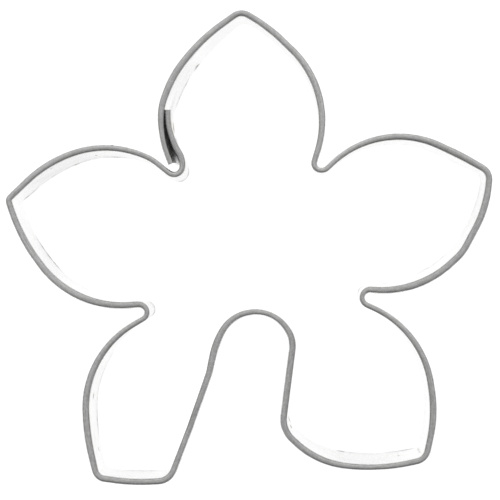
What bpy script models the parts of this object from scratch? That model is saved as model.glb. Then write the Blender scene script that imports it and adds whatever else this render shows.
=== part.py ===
"""Orchid cookie cutter with five petals.

One strip of bright sheet steel has its top edge rolled outwards into a safety rim. It is bent round the
petals with its square cutting edge down, and its two ends lap on the top petal, where two spot welds join
them. Metres, +Z up. The origin lies under the middle of the outline, on the surface that the cutting edge
stands on.
"""

import math
from collections import namedtuple

import bmesh
import bpy
import numpy as np
from mathutils import Matrix, Vector

MM = 0.001

# The whole cutter, over its rim
WIDTH = 90.1 * MM
DEPTH = 87.9 * MM
HEIGHT = 25.0 * MM  # cutting edge to top of rim

# The strip
SHEET = 0.3 * MM
RIM_BORE = 0.7 * MM  # hollow inside the rolled rim, across
RIM_TURN = math.radians(290)  # how far the rim is rolled round from the upright wall
RIM_QUARTER = 3  # facets to each quarter of the rim's roll
RIM_STEP = math.radians(38)  # most turn to a facet on its hidden underside
BEND_STEP = math.radians(20)  # most turn from one section of the strip to the next
BEND_SAG = 0.07 * MM  # most that a flat facet cuts inside a bend
TIGHTEST = 0.2 * MM  # no bend is tighter than this on the tight side of the metal
SHORTEST_RUN = 0.001 * MM
SHORTEST_FACET = 0.25 * MM  # a section nearer than this to the one before it is left out
TRIALS = 4001  # points that are tried along the path, to measure it

# The lap
LAP_LENGTH = 10.55 * MM
LAP_GAP = 0.08 * MM  # between the two walls where the welds hold them together
LAP_RIM_GAP = 0.06 * MM  # between the two rims side by side at the inner end
LAP_STEP = 1.3 * MM  # between sections of the strip in the lap
LAP_EASE = 11.0 * MM  # past the welded stretch, the walls ease back under their rims over this length

# The spot welds
WELD_RADIUS = 1.2 * MM
WELD_INSET = 2.6 * MM  # weld centres to the inner end of the lap
WELD_LOW = 5.5 * MM  # lower weld's centre above the cutting edge
WELD_PITCH = 8.5 * MM  # from the lower weld's centre to the upper one's
WELD_DISH = 0.08 * MM  # depth of the hollow that each electrode leaves
WELD_LAND = 0.3 * MM  # flat ring round each hollow
WELD_CLEARANCE = 0.04 * MM  # all round each nugget
WELD_MARGIN = 1.0 * MM  # the walls stay together this far past a nugget
WELD_SIDES = 20
DISH_STEPS = (0.0, 0.6, 1.0)  # rings of points in each hollow, as shares of its radius
HOLE_REACH = 1.0 * MM  # a hole's cutter stands out this far past each wall
SHARP = math.radians(50)  # edges that turn more than this are shaded as edges

# The drawn outline, walking anticlockwise under the middle of the rim, in drawing units of about a
# millimetre. The build stretches it to WIDTH and DEPTH. Each bend is where the straight runs either side of
# it would cross. Its lean is how far the cutting edge stands in from plumb.
Bend = namedtuple("Bend", "x y radius lean", defaults=[0.0, 0.0])

INNER_END = Bend(-15.2, 25.6)
OUTER_END = Bend(-13.2, 12.4)

INNER_LAP = [Bend(-15.2, 20.8, 12.2)]
UPPER_LEFT_NOTCH = [
    Bend(-12.3, 16.4, 4.0, -0.3),
    Bend(-12.5, 13.6, 1.5, -0.3),
    Bend(-14.4, 13.4, 1.6, 0.6),
]
LEFT_PETAL = [
    Bend(-18.4, 16.7, 11.0, 0.3),
    Bend(-26.8, 19.3, 20.0, 0.3),
    Bend(-37.4, 15.8, 25.6),
    Bend(-44.6, 8.9, 0.85, -0.6),
    Bend(-42.5, 2.0, 34.5, -0.5),
    Bend(-32.3, -11.4, 18.6, 0.1),
]
LOWER_LEFT_NOTCH = [
    Bend(-19.3, -10.4, 1.55, -0.4),
    Bend(-18.7, -12.6, 1.35, -0.4),
]
LOWER_LEFT_PETAL = [
    Bend(-30.7, -19.7, 17.8, 0.1),
    Bend(-30.0, -35.0, 43.5, -0.7),
    Bend(-28.2, -42.5, 1.95, -0.8),
    Bend(-21.4, -43.4, 37.5, -0.5),
    Bend(-14.7, -43.0, 3.2, -0.5),
]
ARCH = [
    Bend(-11.0, -33.3, 60.0, -0.2),
    Bend(-7.4, -23.1, 1.55, -0.2),
    Bend(-6.3, -17.8, 18.6, -0.2),
    Bend(-3.4, -12.4, 7.2, -0.3),
    Bend(4.4, -11.4, 6.8, -0.3),
    Bend(8.2, -16.8, 5.3, -0.2),
]
LOWER_RIGHT_PETAL = [
    Bend(6.0, -33.6, 5.0),
    Bend(12.4, -39.5, 16.1, 0.2),
    Bend(23.6, -41.0, 35.5, 0.3),
    Bend(32.5, -39.0, 2.5, -0.1),
    Bend(34.3, -30.6, 26.1, -0.1),
    Bend(31.7, -15.3, 18.1, 0.2),
]
LOWER_RIGHT_NOTCH = [
    Bend(20.6, -10.1, 1.55, -0.3),
    Bend(21.0, -7.6, 1.55),
]
RIGHT_PETAL = [
    Bend(31.0, -8.5, 18.6, 0.7),
    Bend(39.2, -0.9, 8.6, 0.3),
    Bend(43.5, 7.0, 21.6, -0.2),
    Bend(44.3, 13.9, 2.45, -0.7),
    Bend(39.0, 16.9, 45.5, -0.3),
    Bend(23.9, 24.0, 18.2, -0.1),
]
UPPER_RIGHT_NOTCH = [
    Bend(13.9, 14.2, 1.55, -0.3),
    Bend(11.5, 14.4, 1.25, -0.3),
]
TOP_PETAL = [
    Bend(15.9, 28.6, 18.4, -0.1),
    Bend(3.5, 40.7, 30.6, -0.6),
    Bend(-1.6, 43.7, 2.45, -0.7),
    Bend(-8.4, 38.8, 32.5),
    Bend(-14.1, 32.1, 21.6, 0.3),
]
OUTER_LAP = [
    Bend(-16.4, 26.0, 12.1),
    Bend(-16.4, 20.3, 20.6),
]

OUTLINE = [
    INNER_END,
    *INNER_LAP,
    *UPPER_LEFT_NOTCH,
    *LEFT_PETAL,
    *LOWER_LEFT_NOTCH,
    *LOWER_LEFT_PETAL,
    *ARCH,
    *LOWER_RIGHT_PETAL,
    *LOWER_RIGHT_NOTCH,
    *RIGHT_PETAL,
    *UPPER_RIGHT_NOTCH,
    *TOP_PETAL,
    *OUTER_LAP,
    OUTER_END,
]

# Sizes that follow from these
RIM_RADIUS = RIM_BORE / 2 + SHEET
RIM_UNDERSIDE = HEIGHT - 2 * RIM_RADIUS
WELD_HEIGHTS = (WELD_LOW, WELD_LOW + WELD_PITCH)
CONTACT_LENGTH = WELD_INSET + WELD_RADIUS + WELD_MARGIN
CONTACT_HEIGHT = WELD_HEIGHTS[-1] + WELD_RADIUS + WELD_MARGIN


def ease(value):
    """0 below 0, 1 above 1, and a smooth S between."""
    held = np.clip(value, 0, 1)
    return held * held * (3 - 2 * held)


def between(count, low, high):
    """count points that divide low to high evenly, without high itself."""
    return np.linspace(low, high, count, endpoint=False)


# The path: rows of straight runs and arcs, each with the distance, place and heading where it starts
Run = namedtuple("Run", "start x y heading curve length lean")


def runs_through(outline):
    """Straight runs and the arcs that round the bends, as large as each bend asks and its legs allow."""
    bends = outline[1:-1]
    corners = np.array([(b.x, b.y) for b in outline])
    legs = np.diff(corners, axis=0)
    lengths = np.hypot(legs[:, 0], legs[:, 1])
    headings = np.unwrap(np.arctan2(legs[:, 1], legs[:, 0]))
    turns = np.diff(headings)
    slopes = np.tan(np.abs(turns) / 2)
    wanted = np.array([b.radius for b in bends]) * slopes
    taken = np.append(0, wanted) + np.append(wanted, 0)
    share = np.minimum(1, lengths / taken)
    reach = wanted * np.minimum(share[:-1], share[1:])
    straights = lengths - np.append(0, reach) - np.append(reach, 0)
    runs = []
    distance, (x, y) = 0.0, corners[0]
    for i, straight in enumerate(straights):
        pieces = [(straight, 0.0, None)]
        if i < len(bends):
            radius = reach[i] / slopes[i]
            pieces.append((radius * abs(turns[i]), math.copysign(1 / radius, turns[i]), bends[i].lean))
        for length, curve, lean in pieces:
            if length < SHORTEST_RUN:
                continue
            runs.append(Run(distance, x, y, headings[i], curve, length, lean))
            distance += length
            x, y, _ = along(runs, distance)
    return runs


def length_of(runs):
    """The length of the whole path."""
    return runs[-1].start + runs[-1].length


def along(runs, distance):
    """x, y and heading at a distance, or at an array of them."""
    starts = np.array([run.start for run in runs])
    index = np.clip(np.searchsorted(starts, distance, side="right") - 1, 0, len(runs) - 1)
    x, y, heading, curve = (
        np.array([getattr(run, name) for run in runs])[index] for name in ("x", "y", "heading", "curve")
    )
    gone = distance - starts[index]
    half = curve * gone / 2
    chord = gone * np.sinc(half / math.pi)
    return x + chord * np.cos(heading + half), y + chord * np.sin(heading + half), heading + 2 * half


def stretched(drawn):
    """The drawn bends, stretched so that the cutter is WIDTH by DEPTH over its rim."""
    runs = runs_through(drawn)
    x, y, _ = along(runs, np.linspace(0, length_of(runs), TRIALS))
    wide = (WIDTH - 2 * RIM_RADIUS) / np.ptp(x)
    deep = (DEPTH - 2 * RIM_RADIUS) / np.ptp(y)
    both = math.sqrt(wide * deep)
    tightest = RIM_RADIUS + TIGHTEST
    return [Bend(b.x * wide, b.y * deep, max(b.radius * both, tightest), b.lean * both) for b in drawn]


def nearest(runs, x, y, low, high):
    """Distance along the path of its point nearest to x, y, between the distances low and high."""
    trial = np.linspace(low, high, TRIALS)
    px, py, _ = along(runs, trial)
    return trial[np.argmin(np.hypot(px - x, py - y))]


def arc_sections(runs):
    """Distances at which the strip is sectioned: where each run starts, and steps along each arc."""
    found = []
    for run in runs:
        steps = 1
        if run.curve:
            chord = math.sqrt(8 * BEND_SAG / abs(run.curve))
            steps = math.ceil(max(run.length / chord, run.length * abs(run.curve) / BEND_STEP))
        found.extend(between(steps, run.start, run.start + run.length))
    return found


def thinned(distances):
    """The distances in rising order, without any that would leave a facet too short."""
    kept = []
    for distance in sorted(distances):
        if not kept or distance - kept[-1] > SHORTEST_FACET:
            kept.append(distance)
    return kept


def spacings(points, others):
    """The distance from each point to the nearest of the straight lines that join the others."""
    starts, steps = others[:-1], np.diff(others, axis=0)
    offset = points[:, None] - starts
    gone = np.clip((offset * steps).sum(axis=2) / (steps**2).sum(axis=1), 0, 1)
    return np.linalg.norm(offset - gone[..., None] * steps, axis=2).min(axis=1)


def leans_at(runs, distances):
    """How far the cutting edge stands in, eased from the middle of one bend to the middle of the next."""
    arcs = [run for run in runs if run.lean is not None]
    places = np.array([run.start + run.length / 2 for run in arcs])
    values = np.array([run.lean for run in arcs])
    index = np.clip(np.searchsorted(places, distances) - 1, 0, len(arcs) - 2)
    share = ease((distances - places[index]) / (places[index + 1] - places[index]))
    return values[index] + share * (values[index + 1] - values[index])


# The bent strip in plan, a row for each section. The lean shifts the cutting edge and fades evenly up to
# the rim. The closing shifts the whole welded height, and brings the two walls of the lap together under
# their rims.
Plan = namedtuple("Plan", "distance rim out lean closing")


def strip_plan():
    """Sections along the strip, paired face to face in the lap, with both of its rims side by side."""
    runs = runs_through(stretched(OUTLINE))
    whole = length_of(runs)
    inner = np.arange(0, CONTACT_LENGTH + LAP_STEP, LAP_STEP)
    outer = [nearest(runs, *along(runs, s)[:2], whole / 2, whole) for s in inner]
    beside, end = outer[0], outer[0] + LAP_LENGTH
    plain = thinned(arc_sections(runs))
    middle = [s for s in plain if inner[-1] + SHORTEST_FACET < s < beside - SHORTEST_FACET]
    rest = [s for s in plain if outer[-1] + SHORTEST_FACET < s < end - SHORTEST_FACET]
    distance = np.array([*inner, *middle, *outer, *rest, end])

    x, y, heading = along(runs, distance)
    out = np.stack([np.sin(heading), -np.cos(heading)], axis=1)
    rim = np.stack([x, y], axis=1)
    first = slice(0, len(inner))
    last = slice(len(inner) + len(middle), len(distance) - len(rest) - 1)
    nearer = spacings(rim[first], rim[last]).min() - 2 * RIM_RADIUS - LAP_RIM_GAP
    beyond = (distance - CONTACT_LENGTH) / (LAP_LENGTH - CONTACT_LENGTH)
    rim += out * (nearer * (1 - ease(beyond)))[:, None]

    closing = np.zeros(len(distance))
    for lap, other, start, way in ((first, last, 0, 1), (last, first, beside, -1)):
        welded = np.clip(distance, start, start + CONTACT_LENGTH)
        spacing = np.interp(welded, distance[lap], spacings(rim[lap], rim[other]))
        share = 1 - ease(np.abs(distance - welded) / LAP_EASE)
        closing += way * share * (spacing - SHEET - LAP_GAP) / 2
    lean = leans_at(runs, distance)
    return Plan(distance, rim, out, -out * lean[:, None], out * closing[:, None])


def weld_place(plan):
    """The middle of the gap between the two walls at the welds, and the way out there."""
    wall = plan.rim + plan.closing + plan.out * (SHEET + LAP_GAP / 2 - RIM_RADIUS)
    place, out = (
        np.array([np.interp(WELD_INSET, plan.distance, column) for column in rows.T])
        for rows in (wall, plan.out)
    )
    return place, out / np.hypot(*out)


def profile():
    """Points up the wall and round the rim: distance out and height on both faces, and each shift's share."""
    wall = np.array([0.0, CONTACT_HEIGHT, RIM_UNDERSIDE])
    quarters = between(2 * RIM_QUARTER, math.pi, 0)
    rest = math.ceil((RIM_TURN - math.pi) / RIM_STEP)
    angles = np.append(quarters, np.linspace(0, math.pi - RIM_TURN, rest + 1))
    round_rim = np.stack([np.cos(angles), np.sin(angles)], axis=1)
    centre = np.array([0.0, HEIGHT - RIM_RADIUS])
    faces = [
        np.concatenate([np.stack([np.full(len(wall), -away), wall], axis=1), centre + round_rim * away])
        for away in (RIM_RADIUS, RIM_BORE / 2)
    ]
    height = np.append(wall, np.full(len(angles), RIM_UNDERSIDE))
    lean_share = 1 - height / RIM_UNDERSIDE
    closing_share = np.interp(height, [CONTACT_HEIGHT, RIM_UNDERSIDE], [1, 0])
    return np.stack(faces), lean_share, closing_share


def metal(name, colour, roughness):
    """A plain metal material."""
    material = bpy.data.materials.new(name)
    material.use_nodes = True
    shader = material.node_tree.nodes["Principled BSDF"]
    shader.inputs["Base Color"].default_value = (*colour, 1)
    shader.inputs["Metallic"].default_value = 1
    shader.inputs["Roughness"].default_value = roughness
    return material


def add_object(name, mesh, material, place=(0, 0, 0)):
    """A new object in the scene that holds this mesh."""
    mesh.materials.append(material)
    mesh.shade_smooth()
    mesh.set_sharp_from_angle(angle=SHARP)
    made = bpy.data.objects.new(name, mesh)
    made.location = place
    bpy.context.collection.objects.link(made)
    return made


def strip_points(plan):
    """Points of the strip, by section, face (inside, outside) and place up the profile."""
    faces, lean_share, closing_share = profile()
    rim, out, lean, closing = (rows[:, None, None] for rows in plan[1:])
    flat = rim + out * faces[..., :1] + lean * lean_share[:, None] + closing * closing_share[:, None]
    height = np.broadcast_to(faces[..., 1:], (*flat.shape[:3], 1))
    return np.concatenate([flat, height], axis=3)


def strip_mesh(points):
    """One closed skin: both faces of the sheet, its cutting edge, its rolled edge and its two cut ends."""
    sections, _, steps, _ = points.shape
    number = np.arange(points[..., 0].size).reshape(points.shape[:3])
    inside, outside = number[:, 0], number[:, 1]

    def quads(grid):
        """The four corners of each cell of a grid of point numbers."""
        corners = grid[:-1, :-1], grid[1:, :-1], grid[1:, 1:], grid[:-1, 1:]
        return np.stack(corners, axis=-1).reshape(-1, 4)

    skin = [
        quads(inside)[:, ::-1],
        quads(outside),
        quads(number[:, :, 0]),
        quads(number[:, :, -1])[:, ::-1],
        quads(number[0]),
        quads(number[-1])[:, ::-1],
    ]
    mesh = bpy.data.meshes.new("strip")
    mesh.from_pydata(points.reshape(-1, 3).tolist(), [], np.concatenate(skin).tolist())
    mesh.update()
    return mesh


def nugget_mesh():
    """A weld nugget turned about +Z: a disc through both walls with a shallow dish in each end."""
    half = SHEET + LAP_GAP / 2
    dish = WELD_RADIUS - WELD_LAND
    top = [(dish * step, half - WELD_DISH * (1 - step**2)) for step in DISH_STEPS]
    top.append((WELD_RADIUS, half))
    bottom = [(across, -up) for across, up in reversed(top)]
    shape = bmesh.new()
    verts = [shape.verts.new((across, 0, up)) for across, up in top + bottom]
    edges = [shape.edges.new(pair) for pair in zip(verts[:-1], verts[1:])]
    bmesh.ops.spin(
        shape, geom=verts + edges, axis=(0, 0, 1), cent=(0, 0, 0), angle=2 * math.pi, steps=WELD_SIDES
    )
    bmesh.ops.remove_doubles(shape, verts=shape.verts, dist=0.01 * MM)
    bmesh.ops.recalc_face_normals(shape, faces=shape.faces)
    mesh = bpy.data.meshes.new("nugget")
    shape.to_mesh(mesh)
    shape.free()
    return mesh


def cutter_mesh():
    """A cylinder along Z for the hole that a nugget fills, long enough to pass through both walls."""
    shape = bmesh.new()
    bmesh.ops.create_cone(
        shape,
        cap_ends=True,
        segments=WELD_SIDES,
        radius1=WELD_RADIUS + WELD_CLEARANCE,
        radius2=WELD_RADIUS + WELD_CLEARANCE,
        depth=2 * (SHEET + HOLE_REACH) + LAP_GAP,
    )
    mesh = bpy.data.meshes.new("weld_hole")
    shape.to_mesh(mesh)
    shape.free()
    return mesh


def cut_hole(target, turn, place):
    """Cuts a weld's hole through both walls of the lap, with a hidden cutter."""
    cutter = bpy.data.objects.new("weld_hole", cutter_mesh())
    bpy.context.collection.objects.link(cutter)
    cutter.matrix_world = Matrix.Translation(place) @ turn
    cutter.hide_render = True
    cutter.display_type = "WIRE"
    hole = target.modifiers.new("weld_hole", "BOOLEAN")
    hole.operation = "DIFFERENCE"
    hole.solver = "EXACT"
    hole.object = cutter


def build():
    for old in list(bpy.data.objects):
        bpy.data.objects.remove(old)
    steel = metal("bright_steel", (0.62, 0.62, 0.61), 0.25)
    weld_steel = metal("welded_steel", (0.45, 0.44, 0.43), 0.45)

    plan = strip_plan()
    points = strip_points(plan)
    low, high = points[..., :2].min(axis=(0, 1, 2)), points[..., :2].max(axis=(0, 1, 2))
    middle = (low + high) / 2
    points[..., :2] -= middle
    cutter_strip = add_object("cutter_strip", strip_mesh(points), steel)

    place, out = weld_place(plan)
    turn = Vector((*out, 0)).to_track_quat("Z", "Y").to_matrix().to_4x4()
    for name, height in zip(("spot_weld_lower", "spot_weld_upper"), WELD_HEIGHTS):
        centre = Vector((*(place - middle), height))
        nugget = add_object(name, nugget_mesh(), weld_steel)
        nugget.matrix_world = Matrix.Translation(centre) @ turn
        cut_hole(cutter_strip, turn, centre)


build()
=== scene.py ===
"""An orchid cookie cutter: one strip of bright sheet steel with a rolled rim, bent round five petals, and the
two spot welds that join its lapped ends. Metres, +Z up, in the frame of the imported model. The camera looks
down on the rim."""
import math

import bpy
import numpy as np
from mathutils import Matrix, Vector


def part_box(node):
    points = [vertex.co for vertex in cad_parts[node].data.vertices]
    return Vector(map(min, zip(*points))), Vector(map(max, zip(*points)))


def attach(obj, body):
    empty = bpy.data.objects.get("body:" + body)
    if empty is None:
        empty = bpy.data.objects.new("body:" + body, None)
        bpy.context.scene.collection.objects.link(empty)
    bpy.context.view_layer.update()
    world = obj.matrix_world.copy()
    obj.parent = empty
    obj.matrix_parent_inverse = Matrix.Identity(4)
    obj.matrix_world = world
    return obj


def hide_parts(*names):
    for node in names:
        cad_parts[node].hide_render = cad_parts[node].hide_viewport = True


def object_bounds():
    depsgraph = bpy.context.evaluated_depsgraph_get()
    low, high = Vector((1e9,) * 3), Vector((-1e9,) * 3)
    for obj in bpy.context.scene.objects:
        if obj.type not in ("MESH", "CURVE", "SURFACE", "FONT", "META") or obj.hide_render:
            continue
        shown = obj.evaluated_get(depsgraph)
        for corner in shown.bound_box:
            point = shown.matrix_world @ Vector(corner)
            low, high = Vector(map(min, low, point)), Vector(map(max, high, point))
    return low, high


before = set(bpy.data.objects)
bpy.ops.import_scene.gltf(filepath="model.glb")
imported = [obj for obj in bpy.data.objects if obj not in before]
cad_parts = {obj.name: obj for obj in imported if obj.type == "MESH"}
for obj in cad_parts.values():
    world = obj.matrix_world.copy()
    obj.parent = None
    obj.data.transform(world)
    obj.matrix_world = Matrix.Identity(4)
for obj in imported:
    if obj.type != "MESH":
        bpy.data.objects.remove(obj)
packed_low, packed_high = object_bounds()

# The formed strip. The real piece is one length of 0.3 mm bright rolled steel, 25 mm high, bent petal by
# petal over formers. Its top edge is rolled outwards into a hollow safety rim, its bottom edge is left
# square to cut, and its two ends lap on the left side of the top petal, where they are spot welded.
MM = 0.001
HEIGHT = packed_high.z - packed_low.z
SHEET = 0.3 * MM
RIM_RADIUS = 0.65 * MM
RIM_TURN = math.radians(290)
UNDERSIDE = HEIGHT - 2 * RIM_RADIUS
SHOULDER = 0.11
LAP_LENGTH = 10.4 * MM
LAP_GAP = 0.08 * MM
CONTACT_LENGTH = 4.62 * MM
CONTACT_HEIGHT = 19.5 * MM
LAP_EASE = 11.0 * MM
RIM_CLEARANCE = 0.02 * MM

# The outline walks anticlockwise under the middle of the rim: x, y and radius of each bend, then how far
# the cutting edge stands in from plumb there, all in drawing units of about a millimetre. The last value is
# how wide the roll has come out, as a share of its size: fullest along the petals' sides and pinched beside
# the notches.
INNER_END = [(-15.35, 25.42, 0, 0, 0.88)]
INNER_LAP = [(-15.36, 20.55, 12.1, 0, 0.84)]
UPPER_LEFT_NOTCH = [
    (-12.3, 16.4, 4.0, -0.3, 0.99),
    (-12.5, 13.6, 1.5, -0.3, 0.9),
    (-14.4, 13.4, 1.6, 0.6, 0.79),
]
LEFT_PETAL = [
    (-18.4, 16.7, 11.0, 0.3, 0.85),
    (-26.8, 19.4, 20.0, 0.3, 0.93),
    (-37.4, 15.8, 25.5, 0, 1.02),
    (-44.6, 8.9, 0.85, -0.6, 0.96),
    (-42.5, 1.95, 34.0, -0.5, 1.05),
    (-32.3, -11.4, 18.6, 0.1, 1.12),
]
LOWER_LEFT_NOTCH = [(-19.3, -10.4, 1.55, -0.4, 0.93), (-18.7, -12.6, 1.35, -0.4, 0.77)]
LOWER_LEFT_PETAL = [
    (-30.78, -19.62, 17.8, 0.1, 1.02),
    (-30.0, -35.0, 43.5, -0.7, 1.12),
    (-28.2, -42.5, 1.95, -0.8, 0.98),
    (-21.4, -43.4, 37.5, -0.5, 0.97),
    (-14.7, -43.0, 3.2, -0.5, 1.0),
]
ARCH = [
    (-10.97, -33.3, 60.0, -0.2, 0.96),
    (-7.4, -23.1, 1.55, -0.2, 0.98),
    (-6.3, -17.8, 18.5, -0.2, 1.1),
    (-3.4, -12.4, 7.2, -0.3, 0.94),
    (4.4, -11.4, 6.8, -0.3, 0.82),
    (8.15, -16.8, 5.4, -0.2, 1.0),
]
LOWER_RIGHT_PETAL = [
    (5.96, -33.6, 5.0, 0, 1.03),
    (12.4, -39.5, 16.0, 0.2, 1.02),
    (23.6, -41.0, 35.5, 0.3, 0.86),
    (32.5, -39.0, 2.6, -0.1, 0.97),
    (34.3, -30.6, 26.0, -0.1, 1.09),
    (31.83, -15.22, 18.0, 0.2, 0.94),
]
LOWER_RIGHT_NOTCH = [(20.6, -10.1, 1.55, -0.3, 0.78), (21.0, -7.6, 1.55, 0, 0.9)]
RIGHT_PETAL = [
    (31.0, -8.62, 18.5, 0.7, 1.14),
    (39.25, -0.93, 8.2, 0.3, 1.07),
    (43.5, 7.0, 21.6, -0.2, 1.1),
    (44.3, 13.9, 2.4, -0.7, 0.98),
    (39.0, 16.9, 45.5, -0.3, 1.1),
    (23.9, 24.0, 17.7, -0.1, 0.99),
]
UPPER_RIGHT_NOTCH = [(13.9, 14.2, 1.55, -0.3, 0.79), (11.5, 14.4, 1.25, -0.3, 0.9)]
TOP_PETAL = [
    (15.98, 28.6, 18.4, -0.1, 1.1),
    (3.5, 40.7, 30.6, -0.6, 1.0),
    (-1.6, 43.7, 2.4, -0.7, 0.95),
    (-8.4, 38.8, 32.6, 0, 1.05),
    (-14.1, 32.1, 21.6, 0.3, 1.12),
]
OUTER_LAP = [(-16.34, 26.0, 12.0, 0, 1.04), (-16.47, 20.3, 20.6, 0, 0.85)]
OUTER_END = [(-13.24, 12.4, 0, 0, 0.86)]

# How finely the outline and the section are drawn, and how softly the values given at the bends blend.
ARC_POINTS = 81
PATH_STEP = 0.04 * MM
BEND_SOFTNESS = 0.22 * MM
LEAN_SOFTNESS = 1.5 * MM
ROLL_SOFTNESS = 1.0 * MM
CURL_SOFTNESS = 0.5 * MM
STATIONS = 1240
STATION_TURN = 0.14
CLOSEST, WIDEST = 0.12 * MM, 0.5 * MM
WALL_POINTS = 11
ROLL_POINTS = 28


def ease(value):
    """0 below 0, 1 above 1, and between them three times its square less twice its cube."""
    held = np.clip(value, 0, 1)
    return held * held * (3 - 2 * held)


def rounded(corners, radii):
    """The corners joined by straight legs and tangent arcs. An arc of radius r at a turn t starts
    r tan(t / 2) before its corner, and its point at angle a lies 2 r sin(a / 2) from there, along the first
    leg turned by a / 2. Where two arcs need more than the leg between them, both shrink. Returns the points
    and the row of each arc's middle."""
    legs = np.diff(corners, axis=0)
    length = np.hypot(legs[:, 0], legs[:, 1])
    heading = np.unwrap(np.arctan2(legs[:, 1], legs[:, 0]))
    turn = np.diff(heading)
    slope = np.tan(np.abs(turn) / 2)
    wanted = radii * slope
    share = np.minimum(1, length / (np.append(0, wanted) + np.append(wanted, 0)))
    reach = wanted * np.minimum(share[:-1], share[1:])
    start = corners[1:-1] - legs[:-1] / length[:-1, None] * reach[:, None]
    angle = turn[:, None] * np.linspace(0, 1, ARC_POINTS)
    chord = 2 * (reach / slope)[:, None] * np.abs(np.sin(angle / 2))
    along = heading[:-1, None] + angle / 2
    arcs = start[:, None] + chord[..., None] * np.stack([np.cos(along), np.sin(along)], axis=-1)
    points = np.concatenate([corners[:1], arcs.reshape(-1, 2), corners[-1:]])
    return points, 1 + ARC_POINTS // 2 + ARC_POINTS * np.arange(len(radii))


def travelled(points):
    """The distance along a polyline at each of its points: the running sum of its steps."""
    return np.append(0, np.cumsum(np.hypot(*np.diff(points, axis=0).T)))


def softened(values, width):
    """The values at even path steps, averaged under a bell curve of that width, out to four widths either
    side, with their ends carried on straight."""
    reach = int(4 * width / PATH_STEP)
    bell = np.exp(-0.5 * (np.arange(-reach, reach + 1) * PATH_STEP / width) ** 2)
    beyond = np.arange(1, reach + 1)[:, None]
    columns = values.reshape(len(values), -1)
    before = columns[0] - beyond[::-1] * (columns[1] - columns[0])
    after = columns[-1] + beyond * (columns[-1] - columns[-2])
    padded = np.concatenate([before, columns, after])
    smooth = [np.convolve(column, bell / bell.sum(), mode="valid") for column in padded.T]
    return np.stack(smooth, axis=1).reshape(values.shape)


bends = np.array(
    INNER_END + INNER_LAP + UPPER_LEFT_NOTCH + LEFT_PETAL + LOWER_LEFT_NOTCH + LOWER_LEFT_PETAL + ARCH
    + LOWER_RIGHT_PETAL + LOWER_RIGHT_NOTCH + RIGHT_PETAL + UPPER_RIGHT_NOTCH + TOP_PETAL
    + OUTER_LAP + OUTER_END
)
drawn, middles = rounded(bends[:, :2], bends[1:-1, 2])
packed_reach = np.array([packed_high.x - packed_low.x, packed_high.y - packed_low.y]) - 2 * RIM_RADIUS
stretch = packed_reach / np.ptp(drawn, axis=0)
drawn = (drawn - (drawn.min(axis=0) + drawn.max(axis=0)) / 2) * stretch
way = travelled(drawn)
evenly = np.arange(0, way[-1], PATH_STEP)
path = np.stack([np.interp(evenly, way, column) for column in drawn.T], axis=1)
path = softened(path, BEND_SOFTNESS)
tangent = np.gradient(path, PATH_STEP, axis=0)
tangent /= np.hypot(tangent[:, 0], tangent[:, 1])[:, None]
outward = np.stack([tangent[:, 1], -tangent[:, 0]], axis=1)
curl = np.gradient(np.unwrap(np.arctan2(tangent[:, 1], tangent[:, 0])), PATH_STEP)
lean = softened(np.interp(evenly, way[middles], bends[1:-1, 3]) * stretch.mean(), LEAN_SOFTNESS)
roll_width = softened(np.interp(evenly, way[middles], bends[1:-1, 4]), ROLL_SOFTNESS)

# The two ends run side by side in the lap. Their rims touch, and below these their walls are pressed together
# over CONTACT_LENGTH and ease apart again over LAP_EASE.
half = len(path) // 2
lap_rows = int(LAP_LENGTH / PATH_STEP)
beside = half + np.argmin(np.hypot(*(path[half:] - path[0]).T))
last = min(beside + lap_rows, len(path) - 1)
path, outward, curl, lean, roll_width, evenly = (
    rows[: last + 1] for rows in (path, outward, curl, lean, roll_width, evenly)
)


def spacing(points, others):
    """The distance from each point to the nearest of the others."""
    return np.hypot(*(points[:, None] - others).transpose(2, 0, 1)).min(axis=1)


apart = spacing(path[: 2 * lap_rows], path[beside:])
rims_touch = RIM_RADIUS * (INNER_LAP[0][-1] + OUTER_LAP[0][-1])
nearer = apart[: int(CONTACT_LENGTH / PATH_STEP)].min() - rims_touch - RIM_CLEARANCE
fade = ease((evenly - CONTACT_LENGTH) / (LAP_LENGTH - CONTACT_LENGTH))
path = path + outward * (np.minimum(nearer, 0) * (1 - fade))[:, None]
closing = np.zeros(len(path))
for rows, others, start, side in (
    (slice(0, 2 * lap_rows), slice(beside, None), 0, 1),
    (slice(beside - 2 * lap_rows, None), slice(0, lap_rows), evenly[beside], -1),
):
    held = np.clip(evenly[rows], start, start + CONTACT_LENGTH)
    gap = np.interp(held, evenly[rows], spacing(path[rows], path[others]))
    opened = ease(np.abs(evenly[rows] - held) / LAP_EASE)
    closing[rows] += side * (gap - SHEET - LAP_GAP) / 2 * (1 - opened)

# Stations lie closer together where the strip bends tightly: it turns by STATION_TURN from one to the next.
tight_bend = softened(np.abs(curl), CURL_SOFTNESS)
step = np.clip(STATION_TURN / np.maximum(tight_bend, 1), CLOSEST, WIDEST)
count = np.append(0, np.cumsum(PATH_STEP / step))[:-1]
station = np.interp(np.linspace(0, count[-1], STATIONS), count, evenly)


def at_stations(rows):
    """Rows along the even path, read at the stations."""
    columns = rows.reshape(len(rows), -1)
    read = np.stack([np.interp(station, evenly, column) for column in columns.T], axis=1)
    return read.reshape(len(station), *rows.shape[1:])


rim, out, leaning, closed, width = map(at_stations, (path, outward, lean, closing, roll_width))
out /= np.hypot(out[:, 0], out[:, 1])[:, None]


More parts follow.
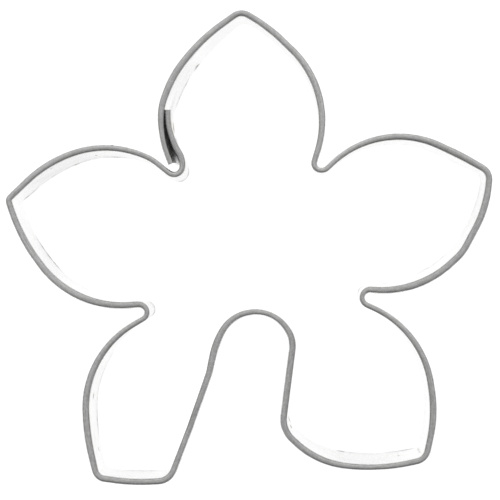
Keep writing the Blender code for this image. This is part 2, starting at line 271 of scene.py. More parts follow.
def sheet_section():
    """One section of the sheet: distance out from the middle of the rim and height, on the face that was
    inside and the face that was outside the petal. The wall climbs straight to the roll, which turns
    outwards about its middle through RIM_TURN. At angle a the roll's skin is at the rim's radius, and over
    the shoulder, its first quarter, at SHOULDER sin(2 a) squared more than that. The other face lies a
    sheet's thickness in from it, square to it."""
    turn = math.pi - np.linspace(0, RIM_TURN, ROLL_POINTS)
    shoulder = SHOULDER * np.sin(2 * turn) ** 2 * (turn > math.pi / 2)
    roll = RIM_RADIUS * (1 + shoulder)[:, None] * np.stack([np.cos(turn), np.sin(turn)], axis=1)
    along = np.gradient(roll, axis=0)
    along[0] = 0, 1
    inward = np.stack([along[:, 1], -along[:, 0]], axis=1) / np.hypot(*along.T)[:, None]
    wall_heights = UNDERSIDE * np.linspace(0, 1, WALL_POINTS)
    faces = []
    for skin_line in (roll, roll + SHEET * inward):
        wall = np.stack([np.full(WALL_POINTS, skin_line[0, 0]), wall_heights], axis=1)
        faces.append(np.concatenate([wall, skin_line + [0, HEIGHT - RIM_RADIUS]]))
    return np.stack(faces)


# The points, by station, face and place in the section. The lean shifts the cutting edge and fades evenly
# up to the rim. The closing shifts the whole welded height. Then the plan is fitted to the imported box.
section = sheet_section()
across, up = section[..., 0], section[..., 1]
low_share = np.clip(1 - up / UNDERSIDE, 0, 1)
near_weld = 1 - ease((up - CONTACT_HEIGHT) / (UNDERSIDE - CONTACT_HEIGHT))
shift = (
    across * width[:, None, None]
    - leaning[:, None, None] * low_share
    + closed[:, None, None] * near_weld
)
points = np.concatenate([
    rim[:, None, None] + out[:, None, None] * shift[..., None],
    np.broadcast_to(up[..., None], (STATIONS, *up.shape, 1)),
], axis=3)
plan = points[..., :2].reshape(-1, 2)
plan_low, plan_high = plan.min(axis=0), plan.max(axis=0)
points[..., :2] -= (plan_low + plan_high) / 2
points[..., :2] *= (packed_reach + 2 * RIM_RADIUS) / (plan_high - plan_low)
points[..., :2] += [(packed_low.x + packed_high.x) / 2, (packed_low.y + packed_high.y) / 2]


def quads(grid):
    """The four corner numbers of each cell of a grid of point numbers."""
    corners = [grid[:-1, :-1], grid[1:, :-1], grid[1:, 1:], grid[:-1, 1:]]
    return np.stack(corners, axis=-1).reshape(-1, 4)


number = np.arange(points[..., 0].size).reshape(points.shape[:3])
skin = np.concatenate([
    quads(number[:, 0])[:, ::-1],
    quads(number[:, 1]),
    quads(number[:, :, 0]),
    quads(number[:, :, -1])[:, ::-1],
    quads(number[0]),
    quads(number[-1])[:, ::-1],
])


def surface_object(name, vertices, faces, uv, shares):
    """A mesh object with these faces, one UV pair for each vertex and one attribute for each named share.
    It is shaded smooth but for edges that turn by more than SHARP_EDGE."""
    mesh = bpy.data.meshes.new(name)
    mesh.from_pydata(vertices.reshape(-1, 3).tolist(), [], faces.tolist())
    layer = mesh.uv_layers.new(name="along_the_sheet")
    corner = np.zeros(len(mesh.loops), dtype=np.int32)
    mesh.loops.foreach_get("vertex_index", corner)
    layer.data.foreach_set("uv", uv.reshape(-1, 2)[corner].astype(np.float32).ravel())
    for attribute, values in shares.items():
        written = mesh.attributes.new(attribute, "FLOAT", "POINT")
        written.data.foreach_set("value", values.astype(np.float32).ravel())
    mesh.shade_smooth()
    mesh.set_sharp_from_angle(angle=SHARP_EDGE)
    made = bpy.data.objects.new(name, mesh)
    bpy.context.scene.collection.objects.link(made)
    return made


# The UV map holds the distance along the strip and round its section, so that grain follows the sheet. The
# share inner_face is 1 on the face that was inside the petals. The share in_lap is 1 on the two wall faces
# that meet in the lap: on the inner end's outside until just short of the outer end, and on the outer end's
# inside from where the inner end starts, less towards the open mouth.
SHARP_EDGE = math.radians(40)
UV_UNIT = 10 * MM
INNER_LAP_STOP, INNER_LAP_FADE = 1.2 * MM, 1.0 * MM
OUTER_LAP_FADE = 0.4 * MM
MOUTH_LENGTH, MOUTH_FADE, MOUTH_LESS = 2.6 * MM, 2.4 * MM, 0.8
round_section = np.append(0, np.cumsum(np.hypot(*np.diff(section[0], axis=0).T)))
uv = np.stack(np.broadcast_arrays(station[:, None, None], round_section[None, None]), axis=-1)
uv = np.broadcast_to(uv, (STATIONS, 2, len(round_section), 2)) / UV_UNIT
inner_face = np.zeros(points.shape[:3])
inner_face[:, 0] = 1
in_lap = np.zeros(points.shape[:3])
in_lap[:, 1, :WALL_POINTS] = 1 - ease((station - LAP_LENGTH + INNER_LAP_STOP) / INNER_LAP_FADE)[:, None]
in_lap[:, 0, :WALL_POINTS] = ease((station - evenly[beside]) / OUTER_LAP_FADE)[:, None]
in_lap[:, 0] *= 1 - MOUTH_LESS * ease((station - evenly[-1] + MOUTH_LENGTH) / MOUTH_FADE)[:, None]
strip = surface_object("formed_strip", points, skin, uv, {"inner_face": inner_face, "in_lap": in_lap})


class Nodes:
    """Adds shader nodes to a material or world and links them, with plain values set on the sockets."""

    def __init__(self, owner):
        owner.use_nodes = True
        self.tree = owner.node_tree
        self.tree.nodes.clear()

    def add(self, kind, inputs=None, **settings):
        """A node with settings, and inputs by name or number that are values or other nodes' outputs."""
        node = self.tree.nodes.new(kind)
        for key, value in settings.items():
            setattr(node, key, value)
        for key, value in (inputs or {}).items():
            if isinstance(value, bpy.types.NodeSocket):
                self.tree.links.new(value, node.inputs[key])
            else:
                node.inputs[key].default_value = value
        return node

    def math(self, operation, *values):
        """The output of a Math node on two or three values."""
        return self.add("ShaderNodeMath", dict(enumerate(values)), operation=operation).outputs[0]

    def vector(self, operation, *values, output=0):
        """An output of a Vector Math node on one or two values."""
        node = self.add("ShaderNodeVectorMath", dict(enumerate(values)), operation=operation)
        return node.outputs[output]

    def ramp(self, value, low, high, to_low=0.0, to_high=1.0):
        """The value mapped from low..high to to_low..to_high and held there."""
        inputs = {"Value": value, "From Min": low, "From Max": high, "To Min": to_low, "To Max": to_high}
        return self.add("ShaderNodeMapRange", inputs).outputs["Result"]

    def mixed(self, share, first, second):
        """The first colour mixed with a share of the second. Each is three numbers or a node's output."""
        ends = [end if isinstance(end, bpy.types.NodeSocket) else (*end, 1) for end in (first, second)]
        mix = self.add("ShaderNodeMix", {"Factor": share, 6: ends[0], 7: ends[1]}, data_type="RGBA")
        return mix.outputs[2]

    def noise(self, vector, scale, detail=3.0, rough=0.5):
        """Noise about 0.5 on a vector."""
        inputs = {"Vector": vector, "Scale": scale, "Detail": detail, "Roughness": rough}
        return self.add("ShaderNodeTexNoise", inputs).outputs["Fac"]

    def scaled(self, vector, scale, turn=0.0):
        """The vector turned about Z and scaled by three numbers."""
        inputs = {"Vector": vector, "Scale": scale, "Rotation": (0, 0, turn)}
        return self.add("ShaderNodeMapping", inputs).outputs[0]

    def attribute(self, name):
        """The mesh's own attribute of that name."""
        return self.add("ShaderNodeAttribute", attribute_name=name).outputs["Fac"]


# The steel's colours. The last five are painted shade on the walls, painted shade on the rim, wear with
# painted contact shade, painted shade in the crease under the roll, and painted light and shade in the lap's
# slot.
STEEL = (0.9, 0.9, 0.895)
HANDLED_STEEL = (0.78, 0.78, 0.775)
STAINED_STEEL = (0.6, 0.59, 0.58)
WALL_SHADE_STEEL = (0.5, 0.5, 0.5)
RIM_SHADE_STEEL = (0.48, 0.48, 0.475)
SCUFF_AND_SHADE_STEEL = (0.3, 0.29, 0.28)
CREASE_SHADE = (0.16, 0.15, 0.14)
LAP_SLOT_LIGHT_AND_SHADE = (0.5, 0.495, 0.49)

# Marks, in millimetres: where each one lies, how far it reaches along each axis, and how strong it is. The
# small dark ones are wear on the wall, painted contact shade at its foot and thin dark lines down two bent
# corners, and the wide ones are painted shade that greys the walls.
WEAR_AND_FOOT_SHADE_MARKS = [
    (-25.2, 18.9, 24.8, 0.35, 0.25, 0.3, 0.85),
    (-38.8, 14.4, 24.6, 0.25, 0.25, 0.4, 0.85),
    (-33.9, 16.2, 0.6, 0.9, 0.5, 1.4, 0.7),
    (-43.6, 9.8, 0.8, 0.9, 0.9, 2.0, 0.85),
    (-38.8, -1.6, 0.5, 0.6, 0.9, 1.4, 0.85),
    (-29.5, -27.9, 14.0, 0.7, 0.8, 1.6, 1.0),
    (-10.7, 35.2, 1.5, 0.9, 0.9, 3.2, 0.95),
    (-29.2, 17.6, 11.0, 0.3, 0.6, 2.6, 0.7),
    (-36.8, 14.8, 21.0, 0.3, 0.5, 1.2, 0.7),
    (-29.5, -36.5, 18.0, 0.5, 0.4, 1.2, 0.85),
    (-29.0, -38.4, 9.0, 0.5, 0.6, 1.8, 0.7),
    (-16.0, -41.9, 15.0, 0.5, 0.5, 1.0, 0.85),
    (-30.6, -34.5, 24.4, 0.2, 0.3, 0.4, 0.85),
    (7.8, -33.9, 10.0, 0.5, 0.5, 3.5, 0.9),
    (7.3, -33.1, 1.0, 0.5, 0.5, 2.5, 0.9),
    (28.1, -39.5, 11.0, 0.4, 0.5, 1.4, 0.7),
    (42.2, 5.6, 18.0, 0.4, 0.6, 2.0, 0.5),
    (31.9, -38.3, 12.0, 0.35, 0.5, 11.0, 0.35),
    (-27.5, -41.7, 13.0, 0.35, 0.35, 11.0, 0.2),
]
WALL_SHADE_MARKS = [
    (-35.5, 14.5, 12.0, 15.0, 8.0, 40.0, 0.58),
    (-38.0, -2.0, 12.0, 9.0, 13.0, 40.0, 0.3),
    (-18.8, -11.6, 12.0, 3.0, 3.0, 40.0, 0.5),
    (-29.0, -29.0, 12.0, 4.0, 16.0, 40.0, 0.2),
    (-22.5, -42.5, 12.0, 7.0, 3.0, 40.0, 0.25),
    (13.0, -38.0, 12.0, 9.0, 6.0, 40.0, 0.2),
    (20.4, -40.0, 12.0, 11.0, 5.0, 40.0, 0.42),
    (42.0, 5.0, 12.0, 5.0, 12.0, 40.0, 0.15),
    (-6.0, 39.5, 12.0, 7.0, 7.0, 40.0, 0.15),
    (-12.6, 32.0, 12.0, 4.0, 8.5, 40.0, 0.34),
    (-12.8, 14.0, 12.0, 3.0, 3.0, 40.0, 0.45),
]
# Stretches of the rim painted lighter, and others painted darker: painted light and shade on the rim.
RIM_PAINTED_LIGHTER = [
    (-37.0, -3.0, 25.0, 13.0, 13.0, 3.0, 0.75),
    (11.5, 30.0, 25.0, 9.0, 20.0, 3.0, 0.4),
]
RIM_PAINTED_DARKER = [
    (34.5, 18.0, 25.0, 18.0, 7.0, 3.0, 0.42),
    (-27.0, 18.0, 25.0, 13.0, 5.0, 3.0, 0.25),
    (7.5, -23.5, 25.0, 4.0, 15.0, 3.0, 0.22),
    (33.5, -26.0, 25.0, 6.0, 20.0, 3.0, 0.2),
    (-24.5, -16.5, 25.0, 10.0, 8.0, 3.0, 0.28),
    (23.5, -11.5, 25.0, 6.0, 4.0, 3.0, 0.3),
    (-10.2, -31.0, 25.0, 3.0, 3.5, 3.0, 0.3),
    (-1.4, 43.4, 25.0, 4.0, 3.0, 3.0, 0.4),
]
MARK_CORE = 0.4

# The patterns' scales: for those drawn out with the sheet, along it, across it and through it for each UV
# unit, and for the others, for each metre.
GRAIN_SCALE = (3.0, 240.0, 1.0)
STREAK_SCALE = (5.0, 34.0, 1.0)
SCRATCH_SCALE = (9.0, 130.0, 1.0)
SCRATCH_SLANT = 0.35
MOTTLE_SCALE = 1800.0
CLOUD_SCALE = 260.0
STAIN_SCALE = 95.0
STAIN_SHARE = 0.3
STREAK_TONES = (0.8, 1.12)
MOTTLE_TONES = (0.9, 1.1)
WALL_UNEVENNESS = 0.3

# Roughness of the clean sheet, what handling, clouding, stains, wear and the welds' heat add to it, and how
# much each pattern stands in relief.
SMOOTHEST, ROUGHEST = 0.12, 0.18
HANDLED_ROUGHER, CLOUD_ROUGHER, STAIN_ROUGHER, WEAR_ROUGHER, WELD_ROUGHER = 0.06, 0.05, 0.08, 0.3, 0.22
GRAIN_RELIEF, SCRATCH_RELIEF, CLOUD_RELIEF = 0.5, -0.6, 1.2
RELIEF_STRENGTH, RELIEF_DEPTH = 0.22, 0.02 * MM

# Where handling has made the rim duller, the height up the sheet of the painted shade in the crease under the
# roll and of the painted shade on the flank above it, and how far the welds' dullness reaches, with the share
# of that painted shade that it leaves.
RIM_FADE_START, RIM_FADE_END = HEIGHT - 1.5 * MM, HEIGHT - 0.8 * MM
CREASE_HEIGHT = (UNDERSIDE + 0.4 * MM) / UV_UNIT
CREASE_WIDTH = 0.22 * MM / UV_UNIT
CREASE_SHARE = 0.4
FLANK_TOP = (HEIGHT + 0.35 * MM) / UV_UNIT
FLANK_SHARE = 0.46
ROLL_TOP, ROLL_OUTSIDE = (HEIGHT + 0.3 * MM) / UV_UNIT, (HEIGHT + 0.85 * MM) / UV_UNIT
OUTSIDE_SHARE = 0.2
WELD_DULLNESS = 7.0 * MM
WELD_CREASE_SHADE = 0.15
LAP_SLOT_SHARE = 0.85


def nearness(n, place, marks):
    """The strength of the strongest mark at a place. A mark is at full strength out to MARK_CORE of its
    reach and falls to 0 at its reach. The distance to it is measured with each axis divided by the mark's
    reach along it."""
    strongest = None
    for mark in marks:
        middle, reach, strength = np.array(mark[:3]) * MM, np.array(mark[3:6]) * MM, mark[6]
        beside_mark = n.vector("SUBTRACT", place, tuple(middle))
        far = n.vector("LENGTH", n.vector("DIVIDE", beside_mark, tuple(reach)), output="Value")
        felt = n.ramp(far, MARK_CORE, 1.0, strength, 0.0)
        strongest = felt if strongest is None else n.math("MAXIMUM", strongest, felt)
    return strongest


def bright_steel(weld):
    """Bright cold-rolled steel: grain and roughness drawn out along the sheet, sparse scratches, faint
    stains and a few dark marks on the inner face: wear up the wall and painted contact shade at its foot.
    Painted shade greys wide stretches of the walls and lies in the crease under the roll and on the flank
    above it, and stretches of the rim are painted lighter and others darker. The rim is duller from handling,
    the
    walls are duller about the welds, and the two faces that meet in the lap are a grey, less metallic finish:
    painted light and shade in the slot between them."""
    material = bpy.data.materials.new("bright_rolled_steel")
    n = Nodes(material)
    sheet = n.add("ShaderNodeUVMap", uv_map="along_the_sheet").outputs[0]
    place = n.add("ShaderNodeTexCoord").outputs["Object"]
    height = n.add("ShaderNodeSeparateXYZ", {0: place}).outputs["Z"]
    up_sheet = n.add("ShaderNodeSeparateXYZ", {0: sheet}).outputs["Y"]
    on_rim = n.ramp(height, RIM_FADE_START, RIM_FADE_END)
    from_weld = n.vector("DISTANCE", place, tuple(weld), output="Value")

    grain = n.noise(n.scaled(sheet, GRAIN_SCALE), 1.0, detail=2.0)
    streak = n.noise(n.scaled(sheet, STREAK_SCALE), 1.0, detail=3.0, rough=0.65)
    mottle = n.noise(place, MOTTLE_SCALE, detail=2.0)
    cloud = n.noise(place, CLOUD_SCALE, detail=3.0)
    scratch = n.noise(n.scaled(sheet, SCRATCH_SCALE, turn=SCRATCH_SLANT), 1.0, detail=1.0)
    scratch = n.ramp(scratch, 0.66, 0.72)
    stain = n.ramp(n.noise(place, STAIN_SCALE, detail=4.0, rough=0.6), 0.6, 0.75)
    on_inner_face = n.math("GREATER_THAN", n.attribute("inner_face"), 0.5)
    # Wear, and painted contact shade at the foot of the wall.
    worn_and_shaded = n.math("MULTIPLY", nearness(n, place, WEAR_AND_FOOT_SHADE_MARKS), on_inner_face)
    # The lap's two faces get a grey, less metallic finish: painted light and shade in the slot between them.
    lap_slot_light_and_shade = n.math("MULTIPLY", n.attribute("in_lap"), LAP_SLOT_SHARE)

    off_rim = n.math("SUBTRACT", 1.0, on_rim)
    dull = n.math("MULTIPLY", n.ramp(from_weld, 0.5 * WELD_DULLNESS, WELD_DULLNESS, 1.0, 0.0), off_rim)
    roughness = n.ramp(grain, 0.3, 0.7, SMOOTHEST, ROUGHEST)
    for share, more in (
        (on_rim, HANDLED_ROUGHER),
        (n.ramp(cloud, 0.4, 0.7), CLOUD_ROUGHER),
        (stain, STAIN_ROUGHER),
        (worn_and_shaded, WEAR_ROUGHER),
        (dull, WELD_ROUGHER),
    ):
        roughness = n.math("ADD", roughness, n.math("MULTIPLY", share, more))

    # Painted shade: a dark line in the crease under the roll and a darker flank above it, less of it near the
    # welds.
    off_crease = n.math("ABSOLUTE", n.math("SUBTRACT", up_sheet, CREASE_HEIGHT))
    creased = n.ramp(off_crease, 0.5 * CREASE_WIDTH, CREASE_WIDTH, CREASE_SHARE, 0.0)
    past_crease = n.math("GREATER_THAN", up_sheet, CREASE_HEIGHT)
    flank = n.ramp(up_sheet, CREASE_HEIGHT, FLANK_TOP, FLANK_SHARE, 0.0)
    crease_and_flank_shade = n.math("MAXIMUM", creased, n.math("MULTIPLY", flank, past_crease))
    away_from_weld = n.ramp(from_weld, WELD_DULLNESS, 2 * WELD_DULLNESS, WELD_CREASE_SHADE, 1.0)
    crease_and_flank_shade = n.math("MULTIPLY", crease_and_flank_shade, away_from_weld)

    over_roll = n.ramp(up_sheet, ROLL_TOP, ROLL_OUTSIDE, 1.0, OUTSIDE_SHARE)
    # The rim is painted darker in some stretches and lighter in others.
    rim_shade = n.math("MULTIPLY", nearness(n, place, RIM_PAINTED_DARKER), over_roll)
    rim_steel = n.mixed(nearness(n, place, RIM_PAINTED_LIGHTER), HANDLED_STEEL, STEEL)
    rim_steel = n.mixed(rim_shade, rim_steel, RIM_SHADE_STEEL)
    # Painted shade greys wide stretches of the walls.
    wall_steel = n.mixed(nearness(n, place, WALL_SHADE_MARKS), STEEL, WALL_SHADE_STEEL)
    colour = n.mixed(on_rim, wall_steel, rim_steel)
    colour = n.mixed(crease_and_flank_shade, colour, CREASE_SHADE)
    colour = n.mixed(n.math("MULTIPLY", stain, STAIN_SHARE), colour, STAINED_STEEL)
    colour = n.mixed(worn_and_shaded, colour, SCUFF_AND_SHADE_STEEL)
    streaked = n.ramp(streak, 0.3, 0.7, *STREAK_TONES)
    uneven = n.math("MULTIPLY", streaked, n.ramp(mottle, 0.25, 0.75, *MOTTLE_TONES))
    showing = n.ramp(on_rim, 0, 1, WALL_UNEVENNESS, 1.0)
    uneven = n.math("MULTIPLY", n.math("SUBTRACT", uneven, 1.0), showing)
    uneven = n.math("ADD", 1.0, uneven)
    colour = n.add("ShaderNodeVectorMath", {0: colour, "Scale": uneven}, operation="SCALE").outputs[0]
    # Painted light and shade in the lap's slot.
    colour = n.mixed(lap_slot_light_and_shade, colour, LAP_SLOT_LIGHT_AND_SHADE)

    relief = n.math("MULTIPLY", scratch, SCRATCH_RELIEF)
    relief = n.math("ADD", n.math("MULTIPLY", grain, GRAIN_RELIEF), relief)
    relief = n.math("ADD", relief, n.math("MULTIPLY", cloud, CLOUD_RELIEF))
    bumps = {"Height": relief, "Strength": RELIEF_STRENGTH, "Distance": RELIEF_DEPTH}
    bump = n.add("ShaderNodeBump", bumps)
    shader = n.add("ShaderNodeBsdfPrincipled", {
        "Base Color": colour,
        "Metallic": n.math("SUBTRACT", 1.0, lap_slot_light_and_shade),
        "Roughness": roughness,
        "Normal": bump.outputs[0],
    })
    n.add("ShaderNodeOutputMaterial", {0: shader.outputs[0]})
    return material


WELD_INSET = 2.42 * MM
at_weld = np.argmin(np.abs(evenly - WELD_INSET))
facing = outward[at_weld]
to_mid_wall = closing[at_weld] - RIM_RADIUS * roll_width[at_weld] + SHEET + LAP_GAP / 2
mid_wall = path[at_weld] + facing * to_mid_wall
strip.data.materials.append(bright_steel((*mid_wall, HEIGHT / 2)))
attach(strip, "root")
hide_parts("cutter_strip")

# The spot welds. Two electrodes pinched the lap between them, which fused both walls in a disc and left a
# shallow dished mark with a raised ring on each side. The heat has tinted the steel there straw and brown.
WELD_RADIUS = 1.2 * MM
WELD_PROUD = 0.012 * MM
RING_RISE = 0.05 * MM
RING_PLACE, RING_WIDTH = 0.8, 0.12
EDGE_SINK = 0.03 * MM
EDGE_PLACE, EDGE_WIDTH = 0.9, 0.1
WELD_RINGS = 24
WELD_SIDES = 72


def weld_mark(name, centre, facing):
    """A disc turned about its axis. Its face stands WELD_PROUD of the wall's surface, plus RING_RISE under a
    bell curve about RING_PLACE, a share of its radius, less EDGE_SINK eased in over the last EDGE_WIDTH, so
    that its edge is sunk in the wall. Both faces are alike."""
    share = np.linspace(0, 1, WELD_RINGS + 1)[1:]
    ring_rise = RING_RISE * np.exp(-(((share - RING_PLACE) / RING_WIDTH) ** 2))
    face = SHEET + LAP_GAP / 2 + WELD_PROUD + ring_rise
    face -= EDGE_SINK * ease((share - EDGE_PLACE) / EDGE_WIDTH)
    radius = np.concatenate([share, share[::-1]]) * WELD_RADIUS
    level = np.concatenate([face, -face[::-1]])
    angle = np.linspace(0, 2 * math.pi, WELD_SIDES, endpoint=False)
    side = np.array([-facing[1], facing[0], 0.0])
    axis, top = np.array([*facing, 0.0]), np.array([0.0, 0.0, 1.0])
    spoke = np.cos(angle)[:, None] * side + np.sin(angle)[:, None] * top
    ring = centre + radius[:, None, None] * spoke + level[:, None, None] * axis
    poles = centre + np.array([[face[0]], [-face[0]]]) * axis
    vertices = np.concatenate([ring.reshape(-1, 3), poles])
    grid = np.arange(ring[..., 0].size).reshape(ring.shape[:2])
    grid = np.concatenate([grid, grid[:, :1]], axis=1)
    first, second = grid.max() + 1, grid.max() + 2
    fans = np.concatenate([
        np.stack([np.full(WELD_SIDES, first), grid[0, :-1], grid[0, 1:]], axis=1),
        np.stack([np.full(WELD_SIDES, second), grid[-1, 1:], grid[-1, :-1]], axis=1),
    ])
    mesh = bpy.data.meshes.new(name)
    mesh.from_pydata(vertices.tolist(), [], quads(grid).tolist() + fans.tolist())
    mesh.shade_smooth()
    made = bpy.data.objects.new(name, mesh)
    bpy.context.scene.collection.objects.link(made)
    return made


# The heat tint from the weld's middle to its edge, how far its rings waver, and the pitted surface.
HEAT_TINT = [
    (0.0, (0.52, 0.51, 0.50)),
    (0.45, (0.50, 0.49, 0.48)),
    (0.7, (0.56, 0.47, 0.36)),
    (0.85, (0.66, 0.60, 0.47)),
    (1.0, (0.70, 0.69, 0.66)),
]
TINT_WAVER = 0.08
PIT_SCALE = 900.0
PIT_STRENGTH, PIT_DEPTH = 0.4, 0.02 * MM
WELD_SMOOTHEST, WELD_ROUGHEST = 0.32, 0.48


def welded_steel(centres):
    """Pressed and heated steel: dull in the dish, with straw and brown rings of tint about each middle."""
    material = bpy.data.materials.new("heat_tinted_steel")
    n = Nodes(material)
    place = n.add("ShaderNodeTexCoord").outputs["Object"]
    from_centres = [n.vector("DISTANCE", place, tuple(centre), output="Value") for centre in centres]
    near = n.math("MINIMUM", *from_centres)
    wobble = n.noise(place, PIT_SCALE, detail=2.0)
    wavering = n.ramp(wobble, 0.3, 0.7, -TINT_WAVER, TINT_WAVER)
    ring = n.math("ADD", n.math("DIVIDE", near, WELD_RADIUS), wavering)
    tint = n.add("ShaderNodeValToRGB", {"Fac": ring})
    stops = tint.color_ramp.elements
    for stop, (position, colour) in zip(stops, (HEAT_TINT[0], HEAT_TINT[-1])):
        stop.position, stop.color = position, (*colour, 1)
    for position, colour in HEAT_TINT[1:-1]:
        stops.new(position).color = (*colour, 1)
    bump = n.add("ShaderNodeBump", {"Height": wobble, "Strength": PIT_STRENGTH, "Distance": PIT_DEPTH})
    shader = n.add("ShaderNodeBsdfPrincipled", {
        "Base Color": tint.outputs[0],
        "Metallic": 1.0,
        "Roughness": n.ramp(wobble, 0.3, 0.7, WELD_SMOOTHEST, WELD_ROUGHEST),
        "Normal": bump.outputs[0],
    })
    n.add("ShaderNodeOutputMaterial", {0: shader.outputs[0]})
    return material


weld_centres = {}
for node in ("spot_weld_lower", "spot_weld_upper"):
    low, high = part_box(node)
    weld_centres[node] = np.array([*mid_wall, (low.z + high.z) / 2])
weld_material = welded_steel(list(weld_centres.values()))
for node, centre in weld_centres.items():
    mark = weld_mark(node.replace("spot_weld", "weld_mark"), centre, facing)
    mark.data.materials.append(weld_material)
    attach(mark, "root")
    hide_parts(node)

# The table. A plain white surface under the cutter. What the camera and the steel see of it glows white,
# less so in the crease along the cutting edge and under the lap, and for the steel also far away.
TABLE_REACH = 0.4
TABLE_WHITE = 0.3
TABLE_GLOW = 0.95
LIT_REACH = 0.07
FAR_GLOW = 0.15
# The sines of the bearings between which the two front sides fade in, from straight ahead, and out again.
# The table is lit FRONT_SIDE_REACH times as far out there.
TABLE_FRONT_SIDES = (-0.9, -0.72, -0.3, -0.1)
FRONT_SIDE_REACH = 3.0
# Shadows in the crease: CONTACT_REACH wide, of strength CONTACT_LEAST, and stronger near these marks.
CONTACT_REACH = 0.26 * MM
CONTACT_LEAST = 0.14
CONTACT_PATCHES = 700.0
CONTACT_SHADOWS = [
    (-12.6, 14.2, 0, 1.6, 2.2, 1.0, 0.9),
    (-12.9, 12.7, 0, 1.9, 0.9, 1.0, 1.0),
    (-34.0, 15.5, 0, 14.0, 7.0, 1.0, 0.45),
    (-26.5, 17.7, 0, 3.4, 1.6, 1.0, 0.8),
    (-33.8, 16.2, 0, 1.0, 1.0, 1.0, 0.8),
    (-42.4, 10.6, 0, 2.2, 2.2, 1.0, 0.8),
    (-39.6, -1.8, 0, 4.5, 6.0, 1.0, 1.0),
    (-18.5, -11.5, 0, 2.2, 3.0, 1.0, 1.0),
    (-28.5, -27.0, 0, 4.0, 14.0, 1.0, 0.45),
    (-29.8, -33.3, 0, 1.8, 4.0, 1.0, 0.75),
    (-21.1, -43.0, 0, 4.4, 1.4, 1.0, 0.5),
    (7.4, -33.1, 0, 0.8, 1.0, 1.0, 0.8),
    (17.3, -39.5, 0, 1.2, 1.0, 1.0, 0.9),
    (19.6, -39.8, 0, 1.5, 1.0, 1.0, 0.5),
    (28.8, -39.3, 0, 3.8, 1.6, 1.0, 0.8),
    (21.0, -8.2, 0, 1.4, 1.8, 1.0, 1.0),
    (25.0, -6.6, 0, 3.0, 1.5, 1.0, 0.4),
    (35.5, -3.4, 0, 6.0, 5.0, 1.0, 0.5),
    (42.6, 10.0, 0, 3.0, 5.5, 1.0, 0.55),
    (-10.6, 35.1, 0, 1.1, 1.3, 1.0, 0.9),
    (-13.6, 30.5, 0, 2.4, 5.5, 1.0, 0.8),
]
# The lap keeps the light off the table between its two ends.
LAP_SHADOWS = [(-14.3, 17.7, 0, 0.9, 1.9, 1.0, 0.97), (-14.8, 19.3, 0, 0.75, 2.5, 1.0, 0.97)]


def toward_front_sides(n, bearing, edges):
    """1 towards the front left and front right, and 0 straight ahead, to the sides and behind. The bearing
    is its sine, -1 straight ahead. It fades in between the first two edges and out between the last two."""
    return n.math("MULTIPLY", n.ramp(bearing, *edges[:2]), n.ramp(bearing, *edges[2:], 1.0, 0.0))


def table_material():
    """White paint that glows for the camera and the steel, by the shares that the shadows and the distance
    leave. The camera sees it white however far away it is."""
    material = bpy.data.materials.new("white_table")
    n = Nodes(material)
    rays = n.add("ShaderNodeLightPath")
    seen = n.math("MAXIMUM", rays.outputs["Is Camera Ray"], rays.outputs["Is Glossy Ray"])
    seen = n.math("MAXIMUM", seen, rays.outputs["Is Transmission Ray"])
    contact = n.add("ShaderNodeAmbientOcclusion", {"Distance": CONTACT_REACH}).outputs["AO"]
    place = n.add("ShaderNodeTexCoord").outputs["Object"]
    patchy = n.ramp(n.noise(place, CONTACT_PATCHES, detail=2.0), 0.35, 0.65, 0.5, 1.0)
    shadow = n.math("MAXIMUM", nearness(n, place, CONTACT_SHADOWS), CONTACT_LEAST)
    creased = n.math("MULTIPLY", n.math("MULTIPLY", patchy, shadow), n.ramp(contact, 0.45, 0.9, 1.0, 0.0))
    open_share = n.math("SUBTRACT", 1.0, n.math("MAXIMUM", creased, nearness(n, place, LAP_SHADOWS)))
    away = n.vector("LENGTH", place, output="Value")
    bearing = n.math("DIVIDE", n.add("ShaderNodeSeparateXYZ", {0: place}).outputs["Y"], away)
    front_sides = toward_front_sides(n, bearing, TABLE_FRONT_SIDES)
    away = n.math("DIVIDE", away, n.ramp(front_sides, 0.0, 1.0, 1.0, FRONT_SIDE_REACH))
    far_away = n.ramp(away, LIT_REACH, TABLE_REACH / 2, 1.0, FAR_GLOW)
    far_away = n.math("MAXIMUM", far_away, rays.outputs["Is Camera Ray"])
    open_share = n.math("MULTIPLY", open_share, far_away)
    glow = n.math("MULTIPLY", n.math("MULTIPLY", seen, open_share), TABLE_GLOW)
    white = n.add("ShaderNodeBsdfDiffuse", {"Color": (TABLE_WHITE,) * 3 + (1,)}).outputs[0]
    light = n.add("ShaderNodeEmission", {"Color": (1, 1, 1, 1), "Strength": glow}).outputs[0]
    both = n.add("ShaderNodeAddShader", {0: white, 1: light}).outputs[0]
    n.add("ShaderNodeOutputMaterial", {0: both})
    return material


table_mesh = bpy.data.meshes.new("table")
table_corners = np.array([(-1, -1, 0), (1, -1, 0), (1, 1, 0), (-1, 1, 0)]) * TABLE_REACH
table_mesh.from_pydata(table_corners.tolist(), [], [(0, 1, 2, 3)])
table = bpy.data.objects.new("table", table_mesh)
table.location.z = packed_low.z
bpy.context.scene.collection.objects.link(table)
table_mesh.materials.append(table_material())

# The light. A soft white studio with no lamps. The steel sees a ceiling of middle grey, lighter towards the
# back (+Y), and a darker band along the horizon, less dark at the back and least at the front sides.
CEILING = 0.45
CEILING_SLOPE = 0.28
SOFT_LIGHT_SLOPE = 0.6
HORIZON_TOP = 0.4
HORIZON_DIP = 0.9
BACK_HORIZON_DIP = 0.35
BACK_START, BACK_END = 0.2, 0.9
SKY_FRONT_SIDES = (-0.95, -0.85, -0.4, -0.15)
FRONT_SIDE_LIFT = 0.9

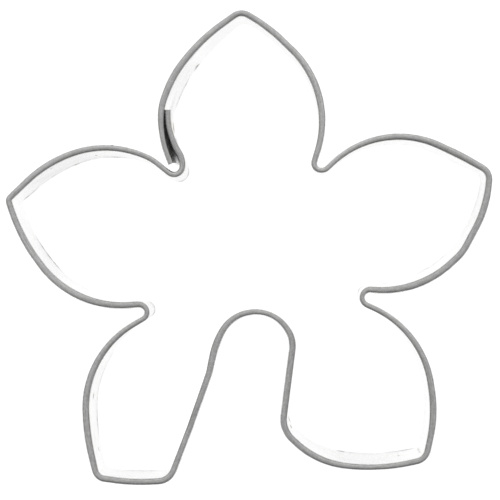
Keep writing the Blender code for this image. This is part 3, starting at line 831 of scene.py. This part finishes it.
world = bpy.data.worlds.new("studio")
bpy.context.scene.world = world
n = Nodes(world)
rays = n.add("ShaderNodeLightPath")
direction = n.add("ShaderNodeTexCoord").outputs["Generated"]
toward = n.add("ShaderNodeSeparateXYZ", {0: direction})
below = n.ramp(toward.outputs["Z"], 0.0, HORIZON_TOP, 1.0, 0.0)
level = n.vector("NORMALIZE", n.vector("MULTIPLY", direction, (1, 1, 0)))
bearing = n.add("ShaderNodeSeparateXYZ", {0: level}).outputs["Y"]
dip = n.ramp(toward.outputs["Y"], BACK_START, BACK_END, HORIZON_DIP, BACK_HORIZON_DIP)
lift = n.math("MULTIPLY", toward_front_sides(n, bearing, SKY_FRONT_SIDES), FRONT_SIDE_LIFT)
dark = n.math("MULTIPLY", below, n.math("SUBTRACT", dip, lift))
ceiling = n.math("MULTIPLY_ADD", toward.outputs["Y"], CEILING_SLOPE, CEILING)
ceiling = n.math("MULTIPLY", ceiling, n.math("SUBTRACT", 1.0, dark))
seen_in_steel = n.math("MAXIMUM", rays.outputs["Is Glossy Ray"], rays.outputs["Is Transmission Ray"])
soft_light = n.math("MULTIPLY_ADD", toward.outputs["Y"], SOFT_LIGHT_SLOPE, 1.0)
to_camera = rays.outputs["Is Camera Ray"]
others = n.add("ShaderNodeMix", {"Factor": to_camera, 2: soft_light, 3: 1.0}).outputs[0]
strength = n.add("ShaderNodeMix", {"Factor": seen_in_steel, 2: others, 3: ceiling}).outputs[0]
sky = n.add("ShaderNodeBackground", {"Color": (1, 1, 1, 1), "Strength": strength})
n.add("ShaderNodeOutputWorld", {0: sky.outputs[0]})

# The camera. It looks almost straight down from half a metre above the rim, over NADIR and towards AIM, and
# its picture is FIELD wide at the height of the rim.
CAMERA_HEIGHT = 0.507
FIELD = 92.2 * MM
SENSOR = 36.0
NADIR = (10.6 * MM, -0.45 * MM)
AIM = (0.264 * MM, -0.416 * MM)

camera_data = bpy.data.cameras.new("camera")
camera_data.sensor_width = SENSOR
camera_data.lens = SENSOR * CAMERA_HEIGHT / FIELD
camera_data.clip_start, camera_data.clip_end = 0.01, 10
camera = bpy.data.objects.new("camera", camera_data)
bpy.context.scene.collection.objects.link(camera)
camera.location = (*NADIR, packed_high.z + CAMERA_HEIGHT)
camera.rotation_euler = (
    math.atan((AIM[1] - NADIR[1]) / CAMERA_HEIGHT),
    math.atan((NADIR[0] - AIM[0]) / CAMERA_HEIGHT),
    0,
)
bpy.context.scene.camera = camera
bpy.context.scene.view_settings.view_transform = "Standard"
